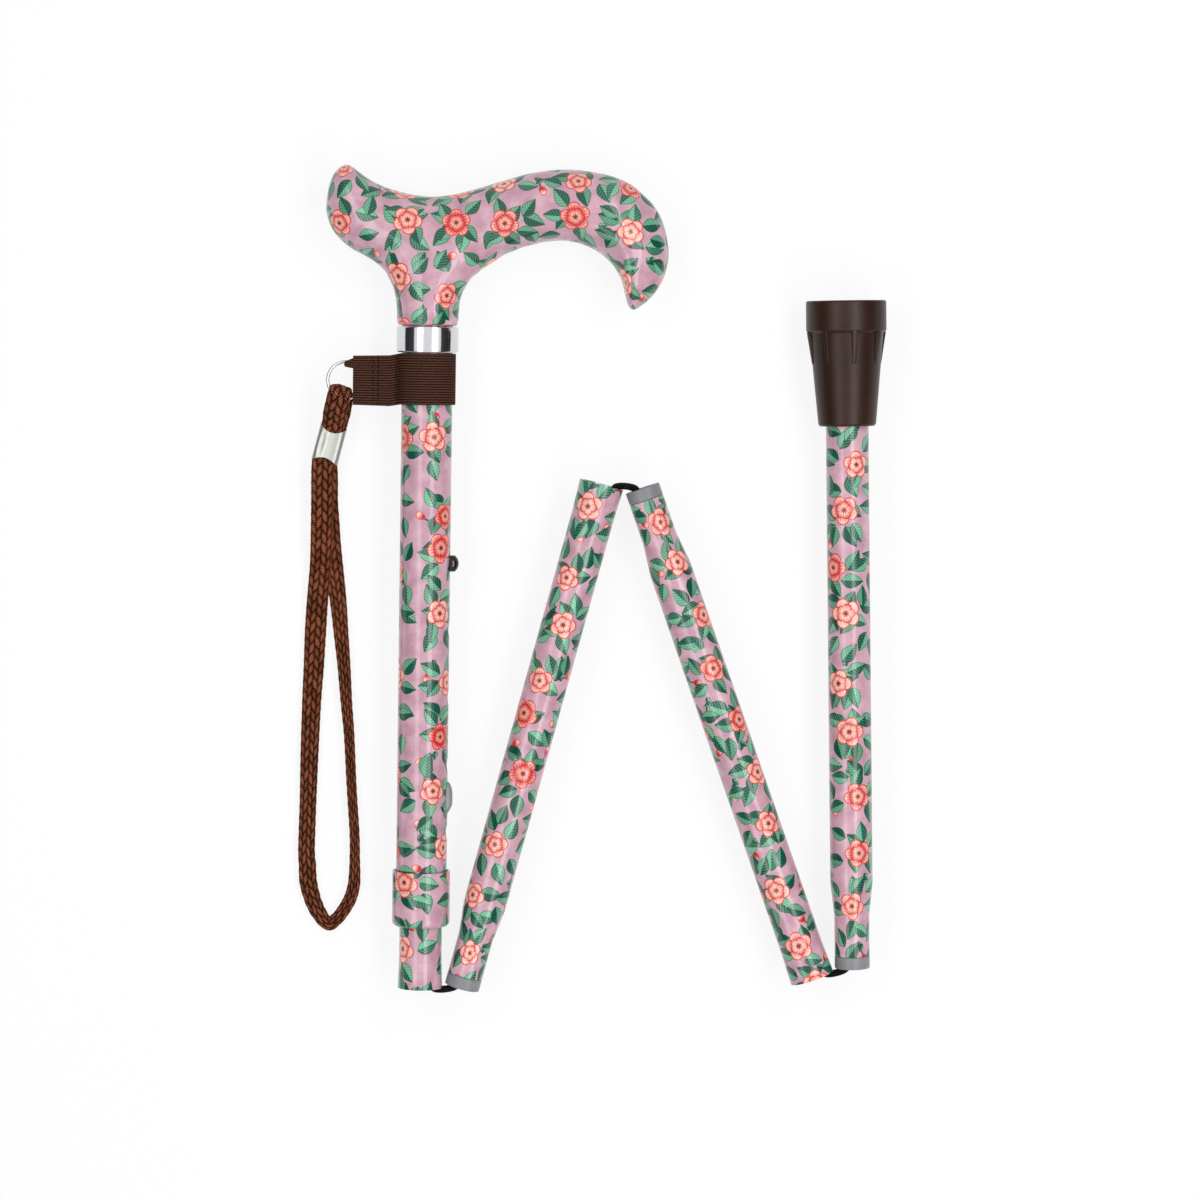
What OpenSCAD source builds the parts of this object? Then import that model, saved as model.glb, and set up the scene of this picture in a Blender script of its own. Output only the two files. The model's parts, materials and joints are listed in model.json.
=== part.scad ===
// Folding cane with a derby handle, lying folded in a zigzag.
// The tubes lie in one level plane, +Y runs along the shaft to the handle, +Z is up.

/* [Handle] */
// Length of the handle from tip to beak
handle_l = 128.5; // [120:0.5:136]
// Height of the handle above its collar
handle_h = 60.3; // [56:0.1:66]
// Thickness of the grip from front to back
handle_w = 28; // [24:0.5:29]
// Reach of the handle's tip past the shaft axis
tip_reach = 38.7; // [36:0.1:42]
// Diameter of the stem at the collar
stem_d = 23; // [22.5:0.1:25]
// Depth of the upper tube in the stem
stem_socket = 18; // [12:1:22]
// Height of the polished collar under the handle
collar_h = 9.7; // [6:0.1:14]
// Outside diameter of the polished collar
collar_d = 23.2; // [22:0.1:25]

/* [Tubes] */
// Outside diameter of the upper tube
upper_d = 19; // [18.5:0.1:20]
// Length of the upper tube from its foot to the stem
upper_l = 214.4; // [200:0.1:240]
// Outside diameter of the sliding and folding tubes
tube_d = 16; // [15.4:0.1:16.4]
// Wall of the sliding and folding tubes
tube_wall = 1.3; // [0.9:0.05:1.6]
// Wall of the swaged ends
swage_wall = 1; // [0.8:0.05:1.2]
// Length of the second section from ring to rim
second_l = 197; // [170:0.5:220]
// Length of the third section from ring to rim
third_l = 195.5; // [170:0.5:220]
// Length of the tip section from ring to the foot of the ferrule
tip_l = 251; // [230:0.2:280]
// Length of a swaged end with its ring
swage_l = 20; // [16:0.5:26]
// Length of the cone behind a swaged end
shoulder_l = 12.5; // [8:0.5:18]
// Length of the belled mouth of a socket end
bell_l = 12; // [8:0.5:18]
// How far the mouth stands out all round
bell_rise = 0.4; // [0.2:0.05:0.6]

/* [Height setting] */
// Pitch of the height holes
hole_pitch = 25.4; // [22:0.1:28]
// Number of height holes
hole_n = 5; // [3:1:6]
// Height of the lowest hole above the upper tube's foot
hole_low = 24.3; // [22:0.1:30]
// Diameter of the snap button
button_d = 6.2; // [5:0.1:7]
// How far the button stands out of the upper tube
button_rise = 3.2; // [2:0.1:4]
// Length of height tube that shows at the shortest setting
show_l = 23.4; // [22:0.1:30]
// Height of the locking collar
lock_h = 21; // [18:0.1:24]
// Outside diameter of the locking collar
lock_d = 21.7; // [21.4:0.1:23]
// Thickness of the locking collar's bottom lip
lock_lip = 4; // [3:0.1:6]
// Length of the split sleeve under the upper tube
sleeve_l = 7; // [5:0.1:9]
// Height of the grey rest pad
pad_h = 13.9; // [10:0.1:15]
// How far the rest pad stands out of the upper tube
pad_rise = 1.9; // [1:0.1:2.5]
// Width of the rest pad
pad_w = 6; // [4:0.1:8]

/* [Fold] */
// Lean of the second section
second_lean_deg = 14.7; // [12:0.1:20]
// Lean of the third section
third_lean_deg = 20; // [17:0.1:24]
// Lean of the tip section
tip_lean_deg = 1.6; // [0:0.1:4]
// Diameter of the shock cord
cord_d = 3.6; // [2.5:0.1:3.8]
// Height of a guide ring that shows
ring_h = 4.8; // [3:0.1:8]
// Bore of a guide ring
ring_bore = 8.8; // [8.6:0.1:9.2]

/* [Ferrule] */
// Diameter of the ferrule's foot
ferrule_d = 30; // [28:0.5:34]
// Height of the ferrule
ferrule_h = 46.8; // [40:0.2:54]
// Height of the foot's rim
rim_h = 11.7; // [8:0.1:14]
// Diameter of the ferrule at its mouth
neck_d = 21.6; // [20.5:0.1:24]
// Diameter of the ferrule just above the rim
waist_d = 27.6; // [25:0.1:29.5]
// Thickness of rubber under the washer
sole_h = 7; // [5:0.5:10]
// Number of ribs above the rim
rib_n = 8; // [4:1:12]
// Height of a rib
rib_h = 11.8; // [8:0.1:14]
// Width of a rib at the rim
rib_w = 2; // [1:0.1:3]

/* [Wrist strap] */
// Width of the webbing
webbing_w = 19.1; // [16:0.1:25]
// Thickness of one layer of webbing
webbing_t = 1.2; // [0.8:0.1:1.6]
// Reach of the webbing's doubled tail from the shaft axis
tail_reach = 26.8; // [22:0.1:34]
// Outside diameter of the wire ring
loop_ring_d = 15; // [13:0.1:17]
// Thickness of the ring's wire
loop_wire = 1.2; // [0.8:0.1:1.6]
// Thickness of the braided wrist cord
braid_d = 4.2; // [3.6:0.1:4.4]
// Length of the metal crimp sleeve
crimp_l = 14.5; // [10:0.1:18]
// Wall of the crimp sleeve
crimp_wall = 0.6; // [0.4:0.05:1]

/* [Hidden] */
$fn = 96;

// Clearances and small shared sizes
slide_gap = 0.1;
seat_gap = 0.05;
face_gap = 0.1;
turn_gap = 0.5;
cord_gap = 0.2;
pivot_gap = 0.2;
fold_gap = 1;
overrun = 1;
sides = 24;
cord_sides = 10;

// Radii that the tubes share
tube_r = tube_d / 2;
bore_r = tube_r - tube_wall;
upper_r = upper_d / 2;
upper_bore_r = tube_r + slide_gap;
swage_r = bore_r - slide_gap;
swage_bore_r = swage_r - swage_wall;
bell_r = tube_r + bell_rise;
cord_r = cord_d / 2;

// Heights along the shaft, from the rim of the height tube
foot_y = show_l + lock_lip + sleeve_l;
stem_y = foot_y + upper_l;
collar_y = stem_y - collar_h;
hole_y = foot_y + hole_low;
button_y = hole_y + (hole_n - 1) * hole_pitch;
band_drop = 1.2;
band_y = collar_y - band_drop - webbing_w / 2;

// Fold pivots: each lies at the edge of a socket's rim, as far from one tube's axis as from the next
pivot_r = tube_r - pivot_gap;
inset_shares = [0.04, 0.03, 0];
fold_insets = [for (s = inset_shares) s * tube_d];
section_turn = [0, -second_lean_deg, 180 + third_lean_deg, tip_lean_deg];
section_l = [0, second_l, third_l, tip_l];
fold_angle = [second_lean_deg, second_lean_deg + third_lean_deg, third_lean_deg - tip_lean_deg];

// Directions along a section and across it, towards the next fold
function along(i) = [-sin(section_turn[i]), cos(section_turn[i])];
function across(i) = (i == 2 ? -1 : 1) * [cos(section_turn[i]), sin(section_turn[i])];
function rim_at(i) = i == 0 ? [0, 0] : ring_at(i) + section_l[i] * along(i);
function rim_inward(i) = i == 0 ? along(0) : -along(i);
function pivot_at(i) = rim_at(i) + pivot_r * across(i) + fold_insets[i] * rim_inward(i);
function ring_at(i) = pivot_at(i - 1) + pivot_r * across(i)
    + (fold_insets[i - 1] + fold_gap) * along(i);

// The middle of the whole, which becomes the origin on the ground
tip_foot = ring_at(3) + tip_l * along(3);
low_x = -tip_reach;
high_x = tip_foot[0] + ferrule_d / 2 * cos(tip_lean_deg) + rim_h * sin(tip_lean_deg);
high_y = stem_y + handle_h;
low_y = -fold_gap - cord_d;
middle = [(low_x + high_x) / 2, (low_y + high_y) / 2];
axis_z = ferrule_d / 2;

module on_shaft() {
    translate([-middle[0], -middle[1], axis_z]) children();
}

module on_section(i) {
    at = ring_at(i);
    on_shaft() translate([at[0], at[1], 0]) rotate([0, 0, section_turn[i]]) rotate([-90, 0, 0]) children();
}

module up_shaft(y) {
    on_shaft() translate([0, y, 0]) rotate([-90, 0, 0]) children();
}

// Across the fold, with x towards the next section and y into the socket
module at_fold(i) {
    at = pivot_at(i);
    turn = [0, -second_lean_deg, third_lean_deg][i];
    on_shaft() translate([at[0], at[1], 0]) rotate([0, 0, turn]) rotate([i == 1 ? 180 : 0, 0, 0]) children();
}

module ring(outer, inner, h) {
    difference() {
        cylinder(r = outer, h = h);
        translate([0, 0, -overrun]) cylinder(r = inner, h = h + 2 * overrun);
    }
}

// A rod from one point to another
module rod(from, to, r) {
    d = to - from;
    translate(from) rotate([0, acos(d[2] / norm(d)), atan2(d[1], d[0])]) cylinder(r = r, h = norm(d));
}

// A smooth curve through rows of numbers, with steps rows for each gap
function curve(a, b, c, d, t) = b + (c - a) * t / 2 + (2 * a - 5 * b + 4 * c - d) * t * t / 2
    + (3 * b - a - 3 * c + d) * t * t * t / 2;
function smooth(rows, steps) = let (last = len(rows) - 1)
    [for (i = [0 : last - 1]) for (k = [0 : steps - 1])
        curve(rows[max(i - 1, 0)], rows[i], rows[i + 1], rows[min(i + 2, last)], k / steps),
        rows[last]];

// A closed skin over rings of points
module loft(rings) {
    n = len(rings[0]);
    m = len(rings);
    polyhedron(points = [for (r = rings) each r], faces = concat(
        [for (i = [0 : m - 2]) for (j = [0 : n - 1]) [i * n + j, i * n + (j + 1) % n, (i + 1) * n + j]],
        [for (i = [0 : m - 2]) for (j = [0 : n - 1])
            [i * n + (j + 1) % n, (i + 1) * n + (j + 1) % n, (i + 1) * n + j]],
        [[for (j = [n - 1 : -1 : 0]) j], [for (j = [0 : n - 1]) (m - 1) * n + j]]));
}

// A tube along a path, whose rings turn no more than the path does
function unit(v) = v / norm(v);
function heading(path, i) = unit(path[min(i + 1, len(path) - 1)] - path[max(i - 1, 0)]);
function carried(path, i, side) = i == len(path) ? [] :
    let (t = heading(path, i), s = unit(side - (side * t) * t)) concat([s], carried(path, i + 1, s));
module tube_along(path, r, n, side) {
    s = carried(path, 0, side);
    loft([for (i = [0 : len(path) - 1]) let (w = cross(heading(path, i), s[i]))
        [for (k = [0 : n - 1]) path[i] + r * (cos(360 * k / n) * s[i] + sin(360 * k / n) * w)]]);
}

// Handle: columns along the grip give top, bottom and depth, as shares of its length, height and thickness
grip_shares = [[0, 0.74, 0.72, 0.04], [0.011, 0.87, 0.63, 0.42], [0.03, 0.955, 0.557, 0.64],
    [0.065, 1, 0.488, 0.8], [0.11, 0.925, 0.435, 0.9], [0.183, 0.849, 0.398, 0.96],
    [0.312, 0.799, 0.373, 1], [0.44, 0.856, 0.381, 1], [0.579, 0.949, 0.498, 1],
    [0.69, 0.983, 0.541, 1], [0.78, 0.968, 0.49, 0.98], [0.84, 0.94, 0.383, 0.96],
    [0.866, 0.918, 0.27, 0.93], [0.886, 0.898, 0.115, 0.9], [0.92, 0.84, 0.14, 0.82],
    [0.96, 0.752, 0.22, 0.66], [0.988, 0.62, 0.33, 0.42], [1, 0.475, 0.455, 0.04]];
// Rows up the stem give its height, and its reach to the left and right, as shares of height and radius
stem_shares = [[0, 1, 1], [0.143, 1.03, 1.02], [0.216, 1.11, 1.14], [0.3, 1.28, 1.4], [0.365, 1.55, 1.84],
    [0.43, 2.07, 2.37], [0.48, 2.6, 2.9]];
// Columns through the stem, to each side of its axis, as shares of its radius
column_shares = [0, 0.26, 0.5, 0.71, 0.87, 0.97, 1, 1.03, 1.14, 1.4, 1.84, 2.3];
grip_steps = 2;
stem_steps = 2;
post_r = 5;
post_rise = 12;
stem_r = stem_d / 2;
flare = max(column_shares) * stem_r;

// Rows of the grip and the stem in real sizes, and what they give in between
grip_rows = [for (s = smooth(grip_shares, grip_steps))
    [s[0] * handle_l - tip_reach, s[1] * handle_h, s[2] * handle_h, s[3] * handle_w / 2]];
stem_rows = [for (s = smooth(stem_shares, stem_steps)) [s[0] * handle_h, s[1] * stem_r, s[2] * stem_r]];
function grip_value(x, i) = lookup(x, [for (r = grip_rows) [r[0], r[i]]]);
function stem_reach(y, side) = lookup(y, [for (r = stem_rows) [r[0], r[side]]]);
function stem_start(x, side) = abs(x) <= stem_r ? 0 : lookup(abs(x), [for (r = stem_rows) [r[side], r[0]]]);

// The handle's outline across x: an ellipse, which runs down into the stem where there is one
function handle_ring(x) = let (top = grip_value(x, 1), low = grip_value(x, 2), w = grip_value(x, 3),
        c = (top + low) / 2, h = (top - low) / 2, side = x > 0 ? 2 : 1, foot = min(low, stem_start(x, side)))
    [for (k = [0 : sides - 1]) let (t = 360 * (k + 1 / 2) / sides, stemmed = abs(x) <= flare && cos(t) < 0,
            y = stemmed ? c + (c - foot) * cos(t) / cos(180 / sides) : c + h * cos(t),
            grip_z = w * sqrt(max(0, 1 - pow((y - c) / h, 2))),
            stem_z = stemmed ? stem_r * sqrt(max(0, 1 - pow(x / stem_reach(y, side), 2))) : 0)
        [x, y, sign(sin(t)) * max(grip_z, stem_z, seat_gap)]];

module handle() {
    last = len(column_shares) - 1;
    columns = concat([for (r = grip_rows) if (r[0] < -flare) r[0]],
        [for (i = [last : -1 : 1]) -column_shares[i] * stem_r], [for (s = column_shares) s * stem_r],
        [for (r = grip_rows) if (r[0] > flare) r[0]]);
    color("pink") difference() {
        on_shaft() translate([0, stem_y, 0]) loft([for (x = columns) handle_ring(x)]);
        up_shaft(stem_y - overrun) cylinder(r = upper_r + seat_gap, h = stem_socket + overrun);
        up_shaft(stem_y) cylinder(r = post_r + seat_gap, h = stem_socket + post_rise + face_gap);
    }
}

// Dowel with a wide foot in the upper tube and a slim head in the handle
module handle_post() {
    color("tan") up_shaft(stem_y) union() {
        cylinder(r = upper_bore_r - seat_gap, h = stem_socket);
        translate([0, 0, stem_socket]) cylinder(r = post_r, h = post_rise);
    }
}

module handle_collar() {
    round_r = collar_h / 12;
    color("silver") up_shaft(collar_y) rotate_extrude() difference() {
        translate([upper_r + seat_gap, 0]) square([collar_d / 2 - upper_r - seat_gap, collar_h - face_gap]);
        for (y = [0, collar_h - face_gap]) translate([collar_d / 2, y]) circle(r = round_r);
    }
}

module upper_tube() {
    color("pink") difference() {
        up_shaft(foot_y) ring(upper_r, upper_bore_r, upper_l + stem_socket - face_gap);
        for (k = [0 : hole_n - 1]) on_shaft() translate([0, hole_y + k * hole_pitch, 0]) rotate([0, 90, 0])
            cylinder(r = button_d / 2 + slide_gap, h = upper_d);
    }
}

// Grey pad between the two lowest holes, seated on the tube
module rest_pad() {
    pad_top_share = 0.35;
    color("slategray") difference() {
        on_shaft() translate([0, hole_y + hole_pitch / 2, 0]) intersection() {
            rotate([0, 90, 0]) union() {
                translate([0, pad_h / 2 - pad_w / 2, 0]) cylinder(d = pad_w, h = upper_r + pad_rise);
                translate([-pad_w / 2, -pad_h / 2, 0]) cube([pad_w, pad_h - pad_w / 2, upper_r + pad_rise]);
            }
            translate([0, -pad_h, -pad_w]) linear_extrude(2 * pad_w) polygon([[0, 0], [upper_r, pad_h / 2],
                [upper_r + pad_rise, pad_h / 2 + pad_h * pad_top_share], [upper_r + pad_rise, 2 * pad_h],
                [0, 2 * pad_h]]);
        }
        up_shaft(foot_y) cylinder(r = upper_r + seat_gap, h = upper_l);
    }
}

// Split bush between the upper tube's foot and the locking collar's lip
module lock_sleeve() {
    slit_share = 0.25;
    color("gainsboro") difference() {
        up_shaft(show_l + lock_lip + face_gap) ring(upper_r, tube_r + slide_gap / 2, sleeve_l - 2 * face_gap);
        on_shaft() translate([-upper_d, show_l + lock_lip, -sleeve_l * slit_share / 2])
            cube([upper_d, sleeve_l + overrun, sleeve_l * slit_share]);
    }
}

module locking_collar() {
    round_r = lock_lip / 2;
    inner_r = upper_r + turn_gap;
    color("pink") up_shaft(show_l) rotate_extrude() difference() {
        union() {
            translate([0, round_r]) square([lock_d / 2, lock_h - round_r]);
            square([lock_d / 2 - round_r, lock_h]);
            translate([lock_d / 2 - round_r, round_r]) circle(r = round_r);
        }
        square([tube_r + slide_gap, lock_h + overrun]);
        translate([0, lock_lip]) square([inner_r, lock_h]);
    }
}

// Height tube: socket rim at the bottom, hole for the snap button near the top
button_top = 20;
module height_tube() {
    top = button_y + button_top;
    color("pink") difference() {
        up_shaft(0) rotate_extrude() polygon([[bell_r, 0], [tube_r, bell_l], [tube_r, top], [bore_r, top],
            [bore_r, bell_l], [bore_r + bell_rise, 0]]);
        on_shaft() translate([0, button_y, 0]) rotate([0, 90, 0])
            cylinder(r = button_d / 2 + slide_gap, h = tube_d);
    }
}

// Button riveted to a leaf spring that is folded in a V inside the height tube
leaf_t = 0.6;
leaf_w = 5;
leaf_l = 34;
leaf_tail_share = 0.2;
module snap_button() {
    seat = bore_r - leaf_w / 4 - leaf_t;
    tail = leaf_l * leaf_tail_share;
    dome_share = 1.25;
    dome_r = button_d / 2;
    dome_round_r = dome_share * dome_r;
    color("dimgray") on_shaft() translate([0, button_y, 0]) union() {
        rotate([0, 90, 0]) {
            translate([0, 0, seat]) cylinder(r = dome_r, h = upper_r + button_rise - seat - dome_r / 2);
            intersection() {
                translate([0, 0, upper_r + button_rise - dome_round_r]) sphere(r = dome_round_r);
                translate([0, 0, upper_r]) cylinder(r = dome_r, h = dome_r + button_rise);
            }
        }
        translate([0, 0, -leaf_w / 2]) linear_extrude(leaf_w) polygon([[seat, tail], [seat + leaf_t, tail],
            [seat + leaf_t, -tail], [leaf_t, -leaf_l], [-leaf_t, -leaf_l], [-seat - leaf_t, -tail],
            [-seat - leaf_t, tail], [-seat, tail], [-seat, -tail], [0, -leaf_l + leaf_t], [seat, -tail]]);
    }
}

// Shock cord: off the axis towards the fold in a socket, less so in a guide ring
rim_off = bore_r - cord_r - cord_gap;
ring_off = ring_bore / 2 - cord_r - cord_gap;
lead = cord_r;
anchor_h = 12;
anchor_y = 96;
knot_share = 1.6;
knot_r = knot_share * cord_r;

// The cord's end runs straight from off the axis, through its anchor, which starts at reach, to a knot
function slant(off, reach, z) = [off * (1 - z / reach), 0, z];
module anchored_cord(off, reach) {
    end = slant(off, reach, reach + anchor_h + knot_r + face_gap);
    color("black") union() {
        rod(slant(off, reach, lead + face_gap), end, cord_r);
        translate(end) sphere(r = knot_r);
    }
}

module cord_anchor(off, reach) {
    color("gainsboro") difference() {
        translate([0, 0, reach]) cylinder(r = bore_r - seat_gap, h = anchor_h);
        rod(slant(off, reach, reach - overrun), slant(off, reach, reach + anchor_h + overrun),
            cord_r + seat_gap);
    }
}

module cord_anchor_upper() {
    up_shaft(0) cord_anchor(rim_off, anchor_y);
}

module shock_cord_top() {
    up_shaft(0) anchored_cord(rim_off, anchor_y);
}

// A stretch of shock cord from a section's guide ring to its socket rim
module shock_cord(i, l) {
    side = i == 2 ? 1 : -1;
    start = lead + face_gap;
    color("black") on_section(i)
        rod([side * ring_off, 0, start], [-side * rim_off, 0, l - start], cord_r);
}

module shock_cord_second() { shock_cord(1, second_l); }
module shock_cord_third() { shock_cord(2, third_l); }

// The cord over the rims of a fold, from the socket to the next guide ring, with a straight lead into each
bend_room = 0.2;
bend_steps = 14;
module cord_bend(i) {
    a = fold_angle[i];
    from = [rim_off - pivot_r, -fold_insets[i]];
    to = (pivot_r - ring_off) * [cos(a), -sin(a)] + (fold_insets[i] + fold_gap) * [sin(a), cos(a)];
    bulge = cord_r + bend_room + abs(to[1] - from[1]) / 2;
    arc = [for (k = [0 : bend_steps]) let (t = 180 * k / bend_steps)
        from + (to - from) * (1 - cos(t)) / 2 - [0, bulge * sin(t)]];
    path = concat([from + [0, lead]], arc, [to + lead * [sin(a), cos(a)]]);
    color("black") at_fold(i)
        tube_along([for (p = path) [p[0], p[1], 0]], cord_r - seat_gap, cord_sides, [0, 0, 1]);
}

module cord_bend_upper() { cord_bend(0); }
module cord_bend_middle() { cord_bend(1); }
module cord_bend_lower() { cord_bend(2); }

// A folding tube, with a swaged end behind its guide ring and, if l runs to a rim, a belled mouth
module folding_tube(i, l, mouth) {
    cone_l = swage_l + shoulder_l;
    flare = mouth ? bell_rise : 0;
    outside = [[swage_r, ring_h], [swage_r, swage_l], [tube_r, cone_l], [tube_r, l - bell_l],
        [tube_r + flare, l]];
    inside = [[bore_r + flare, l], [bore_r, l - bell_l], [bore_r, cone_l], [swage_bore_r, swage_l],
        [swage_bore_r, ring_h]];
    color("pink") on_section(i) rotate_extrude() polygon(concat(outside, inside));
}

module second_tube() { folding_tube(1, second_l, true); }
module third_tube() { folding_tube(2, third_l, true); }
module tip_tube() { folding_tube(3, tip_l - sole_h - washer_h - face_gap, false); }

// Guide ring: a head that shows and a spigot in the swaged end
module guide_ring(i) {
    bore = ring_bore / 2;
    spigot = swage_bore_r - seat_gap;
    head = ring_h - face_gap;
    color("slategray") on_section(i) rotate_extrude() polygon([[bore, 0], [swage_r, 0], [swage_r, head],
        [spigot, head], [spigot, 2 * ring_h], [bore, 2 * ring_h]]);
}

module second_ring() { guide_ring(1); }
module third_ring() { guide_ring(2); }
module tip_ring() { guide_ring(3); }

tip_anchor_s = tip_l - ferrule_h - 2 * anchor_h;
module shock_cord_tip() {
    on_section(3) anchored_cord(-ring_off, tip_anchor_s);
}

module cord_anchor_lower() {
    on_section(3) cord_anchor(-ring_off, tip_anchor_s);
}

// Ferrule: rubber cup with a wide foot and short ribs above the rim
washer_h = 1.5;
module ferrule() {
    edge = rim_h / 16;
    rib_turn_share = 0.2;
    mouth = tip_l - ferrule_h;
    rim = tip_l - rim_h;
    rib_top = waist_d / 2 - (waist_d - neck_d) / 2 * rib_h / (ferrule_h - rim_h);
    color("saddlebrown") on_section(3) difference() {
        union() {
            rotate_extrude() polygon([[0, mouth], [neck_d / 2 - edge, mouth], [neck_d / 2, mouth + edge],
                [waist_d / 2, rim], [ferrule_d / 2 - edge, rim], [ferrule_d / 2, rim + edge],
                [ferrule_d / 2, tip_l - edge], [ferrule_d / 2 - edge, tip_l], [0, tip_l]]);
            for (k = [0 : rib_n - 1]) rotate([0, 0, 360 * (k + rib_turn_share) / rib_n]) translate([0, rib_w / 2, 0])
                rotate([90, 0, 0]) linear_extrude(rib_w) polygon([[neck_d / 2, rim],
                    [ferrule_d / 2 - edge, rim], [rib_top, rim - rib_h], [neck_d / 2, rim - rib_h]]);
        }
        translate([0, 0, mouth - overrun]) cylinder(r = tube_r + seat_gap, h = ferrule_h - sole_h + overrun);
    }
}

module ferrule_washer() {
    color("silver") on_section(3) translate([0, 0, tip_l - sole_h - washer_h])
        ring(tube_r - seat_gap, tube_r / 2, washer_h);
}

// Webbing: a band round the upper tube and a doubled tail, folded round the wire ring at its end
pocket_t = loop_wire + 3 * cord_gap;
pocket_l = loop_ring_d / 2;
fold_share = 0.36;
ring_out_share = 0.23;
ring_x = tail_reach + ring_out_share * loop_ring_d;
module strap_band() {
    inner = upper_r + seat_gap;
    tail_t = pocket_t + 2 * webbing_t;
    fold_w = fold_share * webbing_w;
    color("saddlebrown") difference() {
        union() {
            up_shaft(band_y - webbing_w / 2) cylinder(r = inner + webbing_t, h = webbing_w);
            on_shaft() translate([-tail_reach, band_y - webbing_w / 2, -tail_t / 2])
                cube([tail_reach, webbing_w, tail_t]);
        }
        up_shaft(band_y - webbing_w) cylinder(r = inner, h = 2 * webbing_w);
        on_shaft() difference() {
            translate([-tail_reach - overrun, band_y - webbing_w, -pocket_t / 2])
                cube([pocket_l + overrun, 2 * webbing_w, pocket_t]);
            translate([-tail_reach, band_y - fold_w / 2, -pocket_t])
                cube([webbing_t, fold_w, 2 * pocket_t]);
        }
    }
}

module strap_ring() {
    color("silver") on_shaft() translate([-ring_x, band_y, 0]) rotate_extrude()
        translate([loop_ring_d / 2 - loop_wire / 2, 0]) circle(d = loop_wire);
}

// Wrist cord: from the crimp over the wire ring, back through the crimp, round the loop and into the crimp.
// The route is measured from the ring's middle, with z from the ground.
cord_route = [[-8.6, -23, 8.5], [-7.3, -17.5, 10], [-6.3, -12.5, 13.4], [-5.4, -8, 17.6], [-4.2, -3.6, 18.4],
    [-3, -1.2, 15], [-2.4, -3.4, 11.6], [-2.4, -7.2, 11.4], [-2.4, -12, 10.8], [-3.2, -18, 9.4],
    [-4.6, -24, 8.2], [-6, -30, 6.8], [-6.2, -38, 4.8], [-5.4, -46, 3.4], [-5, -54, 2.6], [-4.4, -62, 2.4],
    [-3.4, -72, 2.4], [-2.2, -83, 2.4], [0, -101, 2.4], [1.8, -119, 2.4], [3.4, -137, 2.4], [5, -155, 2.4],
    [6.4, -173, 2.4], [6.8, -186, 2.4], [5.4, -196, 2.4], [2, -202, 2.4], [-2.6, -204, 2.4],
    [-7.2, -201.6, 2.4], [-10.2, -195, 2.4], [-11.4, -186, 2.4], [-11.7, -173, 2.4], [-11.6, -155, 2.4],
    [-11.5, -137, 2.4], [-11.2, -119, 2.4], [-10.6, -101, 2.4], [-10.2, -83, 2.4], [-10.2, -70, 2.4],
    [-10.4, -58, 2.6], [-10.8, -48, 3.6], [-11, -40, 5], [-10.4, -31, 6.8], [-9, -25, 8]];
cord_steps = 2;
module wrist_cord() {
    color("sienna") translate([-middle[0] - ring_x, -middle[1] + band_y, 0])
        tube_along(smooth(cord_route, cord_steps), braid_d / 2, cord_sides, [1, 0, 0]);
}

// Flattened sleeve round the two strands, tilted as they run
crimp_at = [-6.7, -24, 8.3];
crimp_lean_deg = 14;
crimp_dip_deg = 12;
module cord_crimp() {
    half = braid_d / 2;
    strand_x = half + crimp_wall / 2;
    color("silver") translate([-middle[0] - ring_x, -middle[1] + band_y, 0]) translate(crimp_at)
        rotate([0, 0, -crimp_lean_deg]) rotate([crimp_dip_deg - 90, 0, 0]) translate([0, 0, -crimp_l / 2])
            difference() {
                linear_extrude(crimp_l) {
                    square([2 * strand_x, braid_d + 2 * crimp_wall], center = true);
                    for (s = [-1, 1]) translate([s * strand_x, 0]) circle(r = half + crimp_wall);
                }
                for (s = [-1, 1]) translate([s * strand_x, 0, -overrun])
                    cylinder(r = half, h = crimp_l + 2 * overrun);
            }
}

handle();
handle_post();
handle_collar();
upper_tube();
rest_pad();
lock_sleeve();
locking_collar();
height_tube();
snap_button();
cord_anchor_upper();
shock_cord_top();
cord_bend_upper();
second_tube();
second_ring();
shock_cord_second();
cord_bend_middle();
third_tube();
third_ring();
shock_cord_third();
cord_bend_lower();
tip_tube();
tip_ring();
shock_cord_tip();
cord_anchor_lower();
ferrule();
ferrule_washer();
strap_band();
strap_ring();
wrist_cord();
cord_crimp();
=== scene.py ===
"""Folding cane with a printed film, a wrist loop and a rubber foot, dressed round its CAD frame."""

import json
import math

import bmesh
import bpy
from mathutils import Matrix, Vector


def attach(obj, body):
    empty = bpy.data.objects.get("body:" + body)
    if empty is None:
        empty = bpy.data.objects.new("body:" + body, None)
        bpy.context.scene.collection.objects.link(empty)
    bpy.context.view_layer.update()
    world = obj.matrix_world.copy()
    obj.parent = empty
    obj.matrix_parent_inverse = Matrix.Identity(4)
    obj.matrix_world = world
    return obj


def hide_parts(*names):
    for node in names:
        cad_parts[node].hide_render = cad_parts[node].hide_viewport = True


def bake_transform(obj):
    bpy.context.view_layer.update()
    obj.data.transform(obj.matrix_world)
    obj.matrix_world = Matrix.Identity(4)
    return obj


bl_info = {
    "name": "Folding cane",
    "version": (1, 0, 0),
    "blender": (4, 5, 0),
    "location": "View3D > Sidebar > Cane",
    "description": "Dresses a folding cane with printed film, webbing, braid, rubber and metal",
    "category": "Object",
}

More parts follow.
